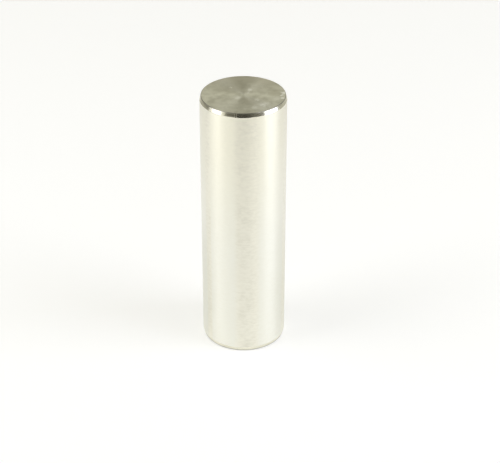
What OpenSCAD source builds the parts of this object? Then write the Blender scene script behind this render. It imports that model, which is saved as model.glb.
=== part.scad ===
// Crankpin: the solid, ground pin that is pressed into the two webs of a
// built-up crankshaft and carries the big-end bearing between them.
// It stands on its lower end face, with its axis along +Z. Millimetres.

/* [Pin] */
// Diameter of the ground cylindrical surface
pin_d = 20; // [12:0.5:40]
// Overall length, from end face to end face
pin_l = 64.3; // [30:0.1:120]

/* [Lead-in chamfers] */
// Length of the chamfer at each end, along the axis
chamfer_l = 0.95; // [0.6:0.05:3]
// Angle between the chamfer and the pin's axis
chamfer_angle = 19; // [10:1:45]

/* [Broken edges] */
// Radius of the edge between an end face and its chamfer
face_edge_r = 0.15; // [0.05:0.01:0.3]
// Radius that runs each chamfer out into the ground surface
shoulder_r = 0.5; // [0.2:0.1:1.5]

/* [Hidden] */
$fn = 180;

// Largest turn between two points of a small radius
arc_step = 10;

// Radii of the ground surface, and of an end face out to its sharp corner
pin_r = pin_d / 2;
face_r = pin_r - chamfer_l * tan(chamfer_angle);

// How far back from its sharp corner each small radius begins
face_setback = face_edge_r * tan((90 - chamfer_angle) / 2);
shoulder_setback = shoulder_r * tan(chamfer_angle / 2);

// Points of an arc, anticlockwise between two angles from the X axis
function arc(centre, radius, start, finish) =
    let (steps = ceil((finish - start) / arc_step))
    [for (i = [0:steps])
        let (angle = start + (finish - start) * i / steps)
        centre + radius * [cos(angle), sin(angle)]];

// The lower end of the half section, from the axis out to the ground
// surface, with the radius along X and the height along Y
lower_end = concat(
    [[0, 0]],
    arc([face_r - face_setback, face_edge_r], face_edge_r, -90, -chamfer_angle),
    arc([pin_r - shoulder_r, chamfer_l + shoulder_setback], shoulder_r,
        -chamfer_angle, 0)
);

// The upper end is the same, turned over
upper_end = [
    for (i = [len(lower_end) - 1:-1:0])
        [lower_end[i].x, pin_l - lower_end[i].y]
];

// The whole pin, turned and ground from one bar
module crankpin() {
    color([0.87, 0.86, 0.78])
        rotate_extrude()
            polygon(concat(lower_end, upper_end));
}

crankpin();
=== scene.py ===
import math

import bmesh
import bpy
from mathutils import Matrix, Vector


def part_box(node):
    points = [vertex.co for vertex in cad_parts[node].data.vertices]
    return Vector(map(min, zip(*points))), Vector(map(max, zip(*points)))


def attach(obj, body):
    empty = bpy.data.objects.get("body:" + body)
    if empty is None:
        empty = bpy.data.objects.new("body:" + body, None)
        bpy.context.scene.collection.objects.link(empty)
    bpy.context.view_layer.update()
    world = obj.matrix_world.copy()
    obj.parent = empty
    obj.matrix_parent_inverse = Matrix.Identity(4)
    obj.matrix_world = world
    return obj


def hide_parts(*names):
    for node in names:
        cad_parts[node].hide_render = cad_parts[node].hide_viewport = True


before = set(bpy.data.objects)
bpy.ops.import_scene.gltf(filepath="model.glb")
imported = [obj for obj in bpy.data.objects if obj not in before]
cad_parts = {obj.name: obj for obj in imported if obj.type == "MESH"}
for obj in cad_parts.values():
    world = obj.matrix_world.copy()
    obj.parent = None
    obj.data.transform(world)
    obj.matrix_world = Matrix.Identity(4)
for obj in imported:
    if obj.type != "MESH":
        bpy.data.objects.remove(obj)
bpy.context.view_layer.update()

bpy.ops.object.select_all(action="DESELECT")


# --- Camera --------------------------------------------------------------------
# It looks down on the standing pin from the front, from about a forearm's
# length, through a short telephoto lens.
camera_place = (0.00152, -0.3044, 0.2132)
camera_down_tilt = math.radians(31.33)
camera_lens = 107.24
film_width = 36
nearest_view = 0.01

bpy.ops.object.camera_add(
    location=camera_place,
    rotation=(math.pi / 2 - camera_down_tilt, 0, 0),
)
camera = bpy.context.object
camera.name = "camera"
camera.data.lens = camera_lens
camera.data.sensor_width = film_width
camera.data.clip_start = nearest_view
bpy.context.scene.camera = camera


# --- The pin -------------------------------------------------------------------
# One bar of hardened bearing steel. It is faced and chamfered in a lathe, then
# ground true on its cylinder, and it stands on its lower end face.
chamfer_length = 0.00095
chamfer_angle = math.radians(19)
face_edge_radius = 0.00015
face_edge_segments = 8
shoulder_radius = 0.0005
shoulder_segments = 4
face_hollow = 0.000045
face_rings = 12
cylinder_rings = 24
sides = 256
same_height = 0.000001
level_normal = 0.999

low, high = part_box("crankpin")
pin_radius = (high.x - low.x) / 2
pin_length = high.z - low.z
face_radius = pin_radius - chamfer_length * math.tan(chamfer_angle)
face_setback = face_edge_radius * math.tan((math.pi / 2 - chamfer_angle) / 2)
shoulder_setback = shoulder_radius * math.tan(chamfer_angle / 2)

bpy.ops.mesh.primitive_cylinder_add(
    vertices=sides,
    radius=pin_radius,
    depth=pin_length - 2 * chamfer_length,
    location=(0, 0, pin_length / 2),
)
pin = bpy.context.object
pin.name = "ground_pin"
bpy.ops.object.transform_apply(location=True)


def select(wanted_faces=None, wanted_edges=None):
    """Selects the faces or edges of the mesh in edit mode that a test picks."""
    bpy.ops.mesh.select_all(action="DESELECT")
    work = bmesh.from_edit_mesh(pin.data)
    if wanted_faces:
        for face in work.faces:
            if wanted_faces(face):
                face.select_set(True)
    else:
        for edge in work.edges:
            if wanted_edges(edge):
                edge.select_set(True)
    bmesh.update_edit_mesh(pin.data)


def faces_out(end):
    """Picks the flat faces at the upper end, 1, or at the lower end, -1."""
    return lambda face: face.normal.z * end > level_normal


def ring_at(height):
    """Picks the edges of the ring at a height."""
    return lambda edge: all(abs(v.co.z - height) < same_height for v in edge.verts)


def runs_along(edge):
    """Picks the edges that run along the cylinder."""
    first, second = edge.verts
    return abs(first.co.z - second.co.z) > pin_length / 2


bpy.ops.object.mode_set(mode="EDIT")
shrink = face_radius / pin_radius
for end in (-1, 1):
    end_height = pin_length / 2 + end * pin_length / 2
    shoulder_height = end_height - end * chamfer_length
    bpy.ops.mesh.select_mode(type="FACE")
    select(wanted_faces=faces_out(end))
    bpy.ops.mesh.extrude_region_move(
        TRANSFORM_OT_translate={"value": (0, 0, end * chamfer_length)}
    )
    bpy.ops.transform.resize(
        value=(shrink, shrink, 1), center_override=(0, 0, end_height)
    )
    bpy.ops.mesh.select_mode(type="EDGE")
    select(wanted_edges=ring_at(end_height))
    bpy.ops.mesh.bevel(offset=face_setback, segments=face_edge_segments, affect="EDGES")
    select(wanted_edges=ring_at(shoulder_height))
    bpy.ops.mesh.bevel(offset=shoulder_setback, segments=shoulder_segments, affect="EDGES")

# The ends are faced a little hollow, so that the pin rests on its rim.
bpy.ops.mesh.select_mode(type="FACE")
flat_radius = face_radius - face_setback
ring_width = flat_radius / (face_rings + 1)
for end in (-1, 1):
    select(wanted_faces=faces_out(end))
    for ring in range(face_rings):
        outer = 1 - ring / (face_rings + 1)
        inner = 1 - (ring + 1) / (face_rings + 1)
        drop = face_hollow * (outer**2 - inner**2)
        bpy.ops.mesh.inset(thickness=ring_width, depth=-drop)
    bpy.ops.mesh.poke()
bpy.ops.mesh.select_mode(type="EDGE")
select(wanted_edges=runs_along)
bpy.ops.mesh.subdivide(number_cuts=cylinder_rings - 1)
bpy.ops.object.mode_set(mode="OBJECT")
bpy.ops.object.shade_smooth()
bpy.ops.object.modifier_add(type="WEIGHTED_NORMAL")
large_faces_lead = 100
pin.modifiers[-1].weight = large_faces_lead
bpy.ops.object.modifier_apply(modifier=pin.modifiers[-1].name)


def add_node(tree, kind, inputs=None, **settings):
    """Adds a shader node. An input is given a value, or a socket to link."""
    made = tree.nodes.new("ShaderNode" + kind)
    for name, value in settings.items():
        setattr(made, name, value)
    for name, value in (inputs or {}).items():
        if isinstance(value, bpy.types.NodeSocket):
            tree.links.new(value, made.inputs[name])
        else:
            made.inputs[name].default_value = value
    return made


def sums(tree, operation, *values):
    """Adds one step of arithmetic and returns its result."""
    inputs = dict(enumerate(values))
    return add_node(tree, "Math", inputs, operation=operation).outputs[0]


def rescale(tree, value, given, wanted=(0, 1)):
    """Maps a range of a value to another, smoothly, and holds it at both ends.
    The value of random marks is mostly between 0.3 and 0.7."""
    inputs = dict(enumerate((value, *given, *wanted)))
    made = add_node(tree, "MapRange", inputs, interpolation_type="SMOOTHSTEP")
    return made.outputs[0]


def mix(tree, factor, first, second):
    """Adds a blend of two colours and returns its result."""
    inputs = {0: factor, 6: first, 7: second}
    return add_node(tree, "Mix", inputs, data_type="RGBA").outputs[2]


def marks(tree, place, per_metre, detail=2):
    """Random marks, this many to the metre along each axis of a place."""
    spread = add_node(tree, "Mapping", {"Vector": place, "Scale": per_metre})
    inputs = {"Vector": spread.outputs[0], "Scale": 1, "Detail": detail}
    return add_node(tree, "TexNoise", inputs).outputs["Fac"]


def steel(name, anisotropy):
    """Bare steel whose finest marks run round the pin's axis, so that highlights
    stretch across them, more so at a higher anisotropy."""
    quarter_turn = 0.25
    made = bpy.data.materials.new(name)
    made.use_nodes = True
    tree = made.node_tree
    shader = tree.nodes["Principled BSDF"]
    shader.inputs["Metallic"].default_value = 1
    shader.inputs["Anisotropic"].default_value = anisotropy
    shader.inputs["Anisotropic Rotation"].default_value = quarter_turn
    tangent = add_node(tree, "Tangent", direction_type="RADIAL", axis="Z")
    tree.links.new(tangent.outputs["Tangent"], shader.inputs["Tangent"])
    pin.data.materials.append(made)
    place = add_node(tree, "TexCoord").outputs["Object"]
    return tree, place, shader


def finish(tree, shader, colour, roughness, height, depth):
    """Links a finish to the shader. The height goes from 0 to 1 over a depth."""
    tree.links.new(colour, shader.inputs["Base Color"])
    tree.links.new(roughness, shader.inputs["Roughness"])
    bump = add_node(tree, "Bump", {"Height": height, "Distance": depth})
    tree.links.new(bump.outputs["Normal"], shader.inputs["Normal"])


def round_turn(tree, place):
    """The angle of a place round the pin's axis, from the front."""
    parts = add_node(tree, "SeparateXYZ", {0: place}).outputs
    ahead = sums(tree, "MULTIPLY", parts["Y"], -1)
    return sums(tree, "ARCTAN2", parts["X"], ahead)


def stripe(tree, turn, middle, width):
    """A soft-edged stripe along the pin, with its place and width in degrees."""
    apart = sums(tree, "SUBTRACT", turn, math.radians(middle))
    apart = sums(tree, "ABSOLUTE", apart)
    half = math.radians(width) / 2
    return rescale(tree, apart, (half / 2, half), (1, 0))


def stripes(tree, place, middles_and_widths):
    """Several stripes along the pin, from their places and widths in degrees."""
    turn = round_turn(tree, place)
    striped = 0
    for middle, width in middles_and_widths:
        striped = sums(tree, "MAXIMUM", striped, stripe(tree, turn, middle, width))
    return striped


# The ground cylinder: fine lines and slight waves from the wheel run round it.
# Faint smudges from handling lie over them, thickest along the stripes where the
# pin was rubbed, and its upper half has a slightly warmer tint.
ground_colour = (0.872, 0.868, 0.785, 1)
warm_colour = (0.89, 0.869, 0.738, 1)
rubbed_colour = (0.915, 0.889, 0.768, 1)
smudge_colour = (0.813, 0.795, 0.688, 1)
warm_heights = (0.025, 0.06)
rubs = ((5, 40), (-55, 14), (72, 14), (128, 30), (-135, 24))
rub_tint = 0.6
smudges_off_rubs = 0.3
least_handled = 0.45
wheel_roughness = (0.315, 0.35)
smudge_roughness = 0.07
wave_depth = 0.000006
line_share = 0.2

tree, place, shader = steel("ground_cylinder", anisotropy=0.75)
lines = marks(tree, place, per_metre=(160, 160, 6500))
waves = marks(tree, place, per_metre=(180, 180, 1700))
smudges = marks(tree, place, per_metre=(950, 950, 1900), detail=3)
handling = marks(tree, place, per_metre=(220, 220, 110))
rubbed = stripes(tree, place, rubs)
along = sums(tree, "MULTIPLY_ADD", rubbed, 1 - smudges_off_rubs, smudges_off_rubs)
handled = rescale(tree, handling, (0.3, 0.7), (least_handled, 1))
handled = sums(tree, "MULTIPLY", handled, along)
smudged = sums(tree, "MULTIPLY", rescale(tree, smudges, (0.3, 0.8)), handled)
above = add_node(tree, "SeparateXYZ", {0: place}).outputs["Z"]
colour = mix(tree, rescale(tree, above, warm_heights), ground_colour, warm_colour)
colour = mix(tree, sums(tree, "MULTIPLY", rubbed, rub_tint), colour, rubbed_colour)
colour = mix(tree, smudged, colour, smudge_colour)
roughness = rescale(tree, lines, (0.25, 0.75), wheel_roughness)
roughness = sums(tree, "MULTIPLY_ADD", smudged, smudge_roughness, roughness)
height = sums(tree, "MULTIPLY_ADD", lines, line_share, waves)
finish(tree, shader, colour, roughness, height, wave_depth)

# The chamfers: turned by one pass of a sharp tool, so smoother, with fine lines
# round the cone and a few nicks across it.
chamfer_colour = (0.79, 0.77, 0.64, 1)
chamfer_worn_colour = (0.84, 0.82, 0.69, 1)
chamfer_roughness = (0.16, 0.2)
nicks = ((-11.5, 0.9), (-9, 1.1), (118, 1.2), (-95, 0.9))
nick_roughness = 0.13
tool_line_depth = 0.0000006
nick_share = 4

tree, place, shader = steel("turned_chamfer", anisotropy=0.3)
lines = marks(tree, place, per_metre=(130, 130, 9000))
patches = marks(tree, place, per_metre=(380, 380, 600))
worn = rescale(tree, patches, (0.3, 0.7))
nicked = stripes(tree, place, nicks)
colour = mix(tree, worn, chamfer_colour, chamfer_worn_colour)
roughness = rescale(tree, patches, (0.3, 0.7), chamfer_roughness)
roughness = sums(tree, "MULTIPLY_ADD", nicked, nick_roughness, roughness)
height = sums(tree, "MULTIPLY_ADD", nicked, -nick_share, lines)
finish(tree, shader, colour, roughness, height, tool_line_depth)

# The faced ends: fine rings from the tool, under spots of old oil. The back of
# each end is darker and browner: a painted shade. A few small dents are sunk and
# smoother, and their paler colour is a painted highlight; three pale spots at the
# edge are painted highlights too. A spot is its place on the end and its size, in
# millimetres.
end_colour = (0.76, 0.75, 0.625, 1)
end_dull_colour = (0.66, 0.65, 0.53, 1)
# The colour of the painted shade at the back of the ends.
back_shade_colour = (0.64, 0.61, 0.48, 1)
oil_colour = (0.56, 0.54, 0.42, 1)
# The dents' paler colour is a painted highlight.
dent_highlight_colour = (0.9, 0.89, 0.78, 1)
# Pale spots at the edge: painted highlights.
edge_highlight_colour = (1, 1, 0.93, 1)
ring_roughness = (0.37, 0.41)
patch_roughness = (-0.05, 0.05)
dent_roughness = 0.06
ring_depth = 0.000001
dent_share = 1.5
back_shade_edge = (0.003, 0.014)
back_shade_wander = 0.008
back_shade_strength = 0.8
ragged_width = 0.002
oil_spots = (
    (-2.7, 3.4, 5.8),
    (1.9, -3.6, 4.0),
    (7.3, 0.6, 3.2),
)
edge_highlights = (
    (9.15, 0.9, 1.0),
    (8.75, -0.4, 0.6),
    (8.95, -1.9, 0.8),
)
dents_and_highlights = (
    (-1.4, -1.6, 1.5),
    (1.5, 2.4, 1.1),
    (1.2, 0.7, 0.6),
    (-2.9, 3.6, 0.45),
    (3.2, -2.6, 1.0),
    (4.4, -5.2, 1.4),
    (5.3, -4.6, 1.5),
    (2.4, -6.6, 1.2),
    (0.4, -7.3, 1.0),
    (7.5, -2.1, 1.9),
)


def place_sums(tree, operation, *places):
    """Adds one step of arithmetic on places and returns its result."""
    inputs = dict(enumerate(places))
    return add_node(tree, "VectorMath", inputs, operation=operation).outputs["Vector"]


def without_height(tree, place):
    """A place brought down to the paper, so that a mark is the same at any depth."""
    return place_sums(tree, "MULTIPLY", place, (1, 1, 0))


def distance_from(tree, centre, place):
    """The distance of a place from a centre."""
    inputs = {0: place, 1: centre}
    return add_node(tree, "VectorMath", inputs, operation="DISTANCE").outputs["Value"]


def ragged(tree, place, width):
    """The place, shaken to and fro across the pin by a share of a width."""
    inputs = {"Vector": place, "Scale": 2600, "Detail": 5}
    shake = add_node(tree, "TexNoise", inputs).outputs["Color"]
    shake = place_sums(tree, "SUBTRACT", shake, (0.5, 0.5, 0.5))
    flat = without_height(tree, place)
    return place_sums(tree, "MULTIPLY_ADD", shake, (width, width, 0), flat)


def spots(tree, place, places_and_sizes, strength):
    """Spots with soft edges, from their places on an end and their sizes."""
    millimetre = 0.001
    spotted = 0
    for spot_x, spot_y, size in places_and_sizes:
        centre = (spot_x * millimetre, spot_y * millimetre, 0)
        core = size * millimetre / 7
        reach = size * millimetre / 1.2
        away = distance_from(tree, centre, place)
        spot = rescale(tree, away, (core, reach), (strength, 0))
        spotted = sums(tree, "MAXIMUM", spotted, spot)
    return spotted


tree, place, shader = steel("faced_end", anisotropy=0.8)
from_axis = distance_from(tree, (0, 0, 0), without_height(tree, place))
outward = add_node(tree, "CombineXYZ", {0: from_axis}).outputs[0]
rings = marks(tree, outward, per_metre=(5200, 0, 0), detail=3)
patches = marks(tree, place, per_metre=(650, 650, 650), detail=4)
wander = marks(tree, place, per_metre=(160, 160, 160))
# The back of each end is painted darker: a painted shade.
back = add_node(tree, "SeparateXYZ", {0: place}).outputs["Y"]
back_shaded = sums(tree, "MULTIPLY_ADD", wander, back_shade_wander, back)
back_shaded = rescale(tree, back_shaded, back_shade_edge, (0, back_shade_strength))
shaken = ragged(tree, place, ragged_width)
dent_and_highlight_mask = spots(tree, shaken, dents_and_highlights, strength=0.85)
colour = mix(tree, rescale(tree, patches, (0.35, 0.7)), end_colour, end_dull_colour)
colour = mix(tree, back_shaded, colour, back_shade_colour)
colour = mix(tree, spots(tree, shaken, oil_spots, strength=0.65), colour, oil_colour)
# The dents' paler colour is a painted highlight; their bump and roughness are real.
colour = mix(tree, dent_and_highlight_mask, colour, dent_highlight_colour)
# The pale spots at the edge are painted highlights.
colour = mix(tree, spots(tree, shaken, edge_highlights, strength=1), colour, edge_highlight_colour)
roughness = rescale(tree, rings, (0.25, 0.75), ring_roughness)
uneven = rescale(tree, patches, (0.3, 0.7), patch_roughness)
roughness = sums(tree, "ADD", roughness, uneven)
roughness = sums(tree, "MULTIPLY_ADD", dent_and_highlight_mask, dent_roughness, roughness)
height = sums(tree, "MULTIPLY_ADD", dent_and_highlight_mask, -dent_share, rings)
finish(tree, shader, colour, roughness, height, ring_depth)

# The rims of the ends: the tool leaves a fine broken edge there. Their dark colour,
# lighter in patches, is painted shade.
rim_shade_colour = (0.3, 0.29, 0.25, 1)
rim_lighter_shade = (0.46, 0.45, 0.39, 1)
rim_roughness = (0.3, 0.4)
rim_depth = 0.000001

tree, place, shader = steel("dark_rim", anisotropy=0.3)
patches = marks(tree, place, per_metre=(420, 420, 420), detail=3)
# The dark rims are painted shade.
colour = mix(tree, rescale(tree, patches, (0.4, 0.7)), rim_shade_colour, rim_lighter_shade)
roughness = rescale(tree, patches, (0.3, 0.7), rim_roughness)
finish(tree, shader, colour, roughness, patches, rim_depth)

# Each face takes its finish by its tilt, from the upright cylinder to the flat
# ends. The finishes were added to the pin in this order.
cylinder_finish, chamfer_finish, end_finish, rim_finish = range(4)
least_chamfer_tilt = 0.02
least_rim_tilt = math.sin(chamfer_angle) + 0.04
least_end_tilt = 0.99
for face in pin.data.polygons:
    tilt = abs(face.normal.z)
    if tilt > least_end_tilt:
        face.material_index = end_finish
    elif tilt > least_rim_tilt:
        face.material_index = rim_finish
    elif tilt > least_chamfer_tilt:
        face.material_index = chamfer_finish
    else:
        face.material_index = cylinder_finish

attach(pin, "root")
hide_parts("crankpin")


# --- Floor ---------------------------------------------------------------------
# A sheet of matt white paper, wide enough to reach past every view. It glows a
# little to the camera and in reflections, less near the pin and least under its
# foot, and it keeps the pin's shadow. The drop of the glow under the foot is a
# painted contact shadow.
floor_size = 6
paper_colour = (0.6, 0.6, 0.59, 1)
glow_colour = (1, 1, 0.985, 1)
glow = (0.51, 0.76)
glow_reach = (0.1, 1.3)
painted_foot_shadow = 0.25
painted_shadow_edge = (pin_radius - 0.0004, pin_radius - 0.0001)

bpy.ops.mesh.primitive_plane_add(size=floor_size, location=(0, 0, 0))
floor = bpy.context.object
floor.name = "floor"
paper = bpy.data.materials.new("white_paper")
paper.use_nodes = True
tree = paper.node_tree
tree.nodes.clear()
sheet = add_node(tree, "BsdfDiffuse", {"Color": paper_colour})
path = add_node(tree, "LightPath").outputs
seen = sums(tree, "MAXIMUM", path["Is Camera Ray"], path["Is Glossy Ray"])
seen = sums(tree, "MAXIMUM", seen, path["Is Transmission Ray"])
place = add_node(tree, "TexCoord").outputs["Object"]
away = distance_from(tree, (0, 0, 0), place)
strength = rescale(tree, away, glow_reach, glow)
# Under the foot the glow drops to a quarter: a painted contact shadow.
strength = sums(tree, "MULTIPLY", strength, rescale(tree, away, painted_shadow_edge, (painted_foot_shadow, 1)))
strength = sums(tree, "MULTIPLY", seen, strength)
glowing = add_node(tree, "Emission", {"Color": glow_colour, "Strength": strength})
both = add_node(tree, "AddShader", {0: sheet.outputs[0], 1: glowing.outputs[0]})
add_node(tree, "OutputMaterial", {"Surface": both.outputs[0]})
floor.data.materials.append(paper)


# --- Lights --------------------------------------------------------------------
# Two tall soft boxes stand at the pin's sides and reach down to the paper. Two
# smaller ones hang nearer the pin, lean over it and light the paper.
def beside_pin(azimuth, distance, height):
    """A place round the pin, azimuth degrees from the front."""
    turn = math.radians(azimuth)
    return (distance * math.sin(turn), -distance * math.cos(turn), height)


def softbox(name, azimuth, distance, bottom, width, tall, radiance, colour, tilt=90):
    """A soft box turned to the pin. It stands upright at a tilt of 90 degrees, and
    leans over the pin at less."""
    place = beside_pin(azimuth, distance, bottom + tall / 2)
    bpy.ops.object.light_add(type="AREA", location=place)
    lamp = bpy.context.object
    lamp.name = name
    lamp.data.shape = "RECTANGLE"
    lamp.data.size = width
    lamp.data.size_y = tall
    lamp.data.energy = radiance * math.pi * width * tall
    lamp.data.color = colour
    lamp.rotation_euler = (math.radians(tilt), 0, math.radians(azimuth))
    lamp.visible_camera = False


softbox(
    "softbox_left", azimuth=-70.5, distance=0.5, bottom=0, width=0.245, tall=0.7,
    radiance=1.3, colour=(0.9, 0.9, 1),
)
softbox(
    "softbox_right", azimuth=75.5, distance=0.5, bottom=0, width=0.335, tall=0.7,
    radiance=2.3, colour=(0.77, 0.805, 1),
)
for azimuth, radiance in ((-80, 2.02), (70, 1.42)):
    softbox(
        "softbox_high", azimuth=azimuth, distance=0.37, bottom=0.3, width=0.35, tall=0.35,
        radiance=radiance, colour=(1, 1, 1), tilt=38,
    )


# --- Cards ---------------------------------------------------------------------
# Plain cards stand and lie round the pin, as in a product studio. They shape its
# reflections, and only reflections show them. Each glows at its own tones instead
# of taking light, so its brightness and shade are painted light.
def card(name, azimuth, distance, bottom, width, tall, tones, lying=False):
    """A card that faces the pin, or lies on the paper. Its tones are pairs of a
    share of its width, from the left as seen from behind it, and a colour."""
    height = bottom if lying else bottom + tall / 2
    bpy.ops.mesh.primitive_plane_add(
        size=1,
        location=beside_pin(azimuth, distance, height),
        rotation=(0 if lying else math.pi / 2, 0, math.radians(azimuth)),
    )
    made = bpy.context.object
    made.name = name
    made.scale = (width, tall, 1)
    surface = bpy.data.materials.new(name)
    surface.use_nodes = True
    tree = surface.node_tree
    tree.nodes.clear()
    place = add_node(tree, "TexCoord").outputs["Object"]
    across = add_node(tree, "SeparateXYZ", {0: place}).outputs["X"]
    share = sums(tree, "ADD", across, 0.5)
    ramp = add_node(tree, "ValToRGB", {"Fac": share})
    stops = ramp.color_ramp.elements
    stops.remove(stops[0])
    stops[0].position = tones[0][0]
    stops[0].color = (*tones[0][1], 1)
    for position, tone in tones[1:]:
        stop = stops.new(position)
        stop.color = (*tone, 1)
    # The card glows at its tones: painted light, not lit by the lamps.
    card_glow = add_node(tree, "Emission", {"Color": ramp.outputs["Color"]})
    add_node(tree, "OutputMaterial", {"Surface": card_glow.outputs[0]})
    made.data.materials.append(surface)
    made.visible_camera = False
    made.visible_diffuse = False
    made.visible_shadow = False


def plain(tone):
    """The tones of a card that is the same all over."""
    return ((0, tone),)


black = (0.05, 0.048, 0.042)
sooty = (0.085, 0.082, 0.07)
charcoal = (0.096, 0.092, 0.073)
slate = (0.15, 0.14, 0.12)
dark_grey = (0.25, 0.24, 0.21)
middle_grey = (0.42, 0.41, 0.36)
shaded_grey = (0.43, 0.42, 0.37)
grey = (0.57, 0.56, 0.5)
light_grey = (0.6, 0.59, 0.54)
paler_grey = (0.66, 0.65, 0.57)
pale = (0.8, 0.79, 0.7)
left_foot_shadow = (0.89, 0.89, 0.85)
right_foot_shadow = (0.91, 0.91, 0.87)
left_white = (1.03, 1.03, 1.02)
right_white = (1.02, 1.02, 1.02)

# In front stand dark cards, with a pale left end.
front_tones = (
    (0.0, pale),
    (0.12, pale),
    (0.14, charcoal),
    (0.38, charcoal),
    (0.40, black),
    (0.54, black),
    (0.66, sooty),
    (1.0, slate),
)
card(
    "dark_card_front", azimuth=0, distance=0.35, bottom=0.075, width=1, tall=0.13,
    tones=front_tones,
)
card(
    "low_card_front", azimuth=0, distance=0.35, bottom=0, width=0.25, tall=0.075,
    tones=plain(black),
)

# Behind the pin and beside it, cards lie on the paper: small ones at its foot,
# white ones past them, and large grey ones farther out. The small ones at its foot
# are a painted shadow of the pin on the paper. The left grey one is painted darker
# towards the front.
for side, tone in ((-1, left_white), (1, right_white)):
    card(
        "white_card_low", azimuth=side * 138, distance=0.115, bottom=0.0015, width=0.24,
        tall=0.13, tones=plain(tone), lying=True,
    )
# These tones are a painted shadow of the pin at its foot.
for side, tone in ((-1, left_foot_shadow), (1, right_foot_shadow)):
    card(
        "foot_shadow_card", azimuth=side * 128, distance=0.034, bottom=0.001, width=0.045,
        tall=0.044, tones=plain(tone), lying=True,
    )
left_tones = ((0, light_grey), (0.4, light_grey), (0.48, shaded_grey))
card(
    "grey_card_left", azimuth=-130, distance=0.45, bottom=0.001, width=0.7, tall=0.54,
    tones=left_tones, lying=True,
)
card(
    "grey_card_right", azimuth=135, distance=0.45, bottom=0.001, width=0.7, tall=0.54,
    tones=plain(grey), lying=True,
)

# Behind them stand grey cards at the sides, and a small dark one before a pale one.
card(
    "tall_card_left", azimuth=-125, distance=0.7, bottom=0, width=0.82, tall=0.6,
    tones=plain(dark_grey),
)
card(
    "tall_card_right", azimuth=126, distance=0.7, bottom=0, width=0.8, tall=0.6,
    tones=plain(middle_grey),
)
card(
    "dark_card_back", azimuth=180, distance=0.45, bottom=0, width=0.2, tall=0.16,
    tones=plain(black),
)
card(
    "pale_card_back", azimuth=180, distance=0.7, bottom=0, width=0.5, tall=0.6,
    tones=plain(paler_grey),
)


# --- Room ----------------------------------------------------------------------
# The studio round the table: pale walls that fade to a dimmer, warmer ceiling.
# They fill in what the pin mirrors past the cards. A height is 0 at the horizon
# and 1 overhead.
horizon_tone = (0.97, 0.97, 0.95, 1)
wall_tone = (0.85, 0.84, 0.79, 1)
middle_tone = (0.5, 0.49, 0.41, 1)
ceiling_tone = (0.3, 0.29, 0.24, 1)
wall_height = 0.12
middle_height = 0.45
ceiling_height = 0.75

world = bpy.data.worlds.new("room")
bpy.context.scene.world = world
world.use_nodes = True
tree = world.node_tree
tree.nodes.clear()
direction = add_node(tree, "TexCoord").outputs["Generated"]
up = add_node(tree, "SeparateXYZ", {0: direction}).outputs["Z"]
fade = add_node(tree, "ValToRGB", {"Fac": up})
stops = fade.color_ramp.elements
stops[0].position = 0
stops[0].color = horizon_tone
stops[1].position = ceiling_height
stops[1].color = ceiling_tone
for height, tone in ((wall_height, wall_tone), (middle_height, middle_tone)):
    stop = stops.new(height)
    stop.color = tone
background = add_node(tree, "Background", {"Color": fade.outputs["Color"]})
add_node(tree, "OutputWorld", {"Surface": background.outputs[0]})


bpy.context.scene.view_settings.view_transform = "Standard"
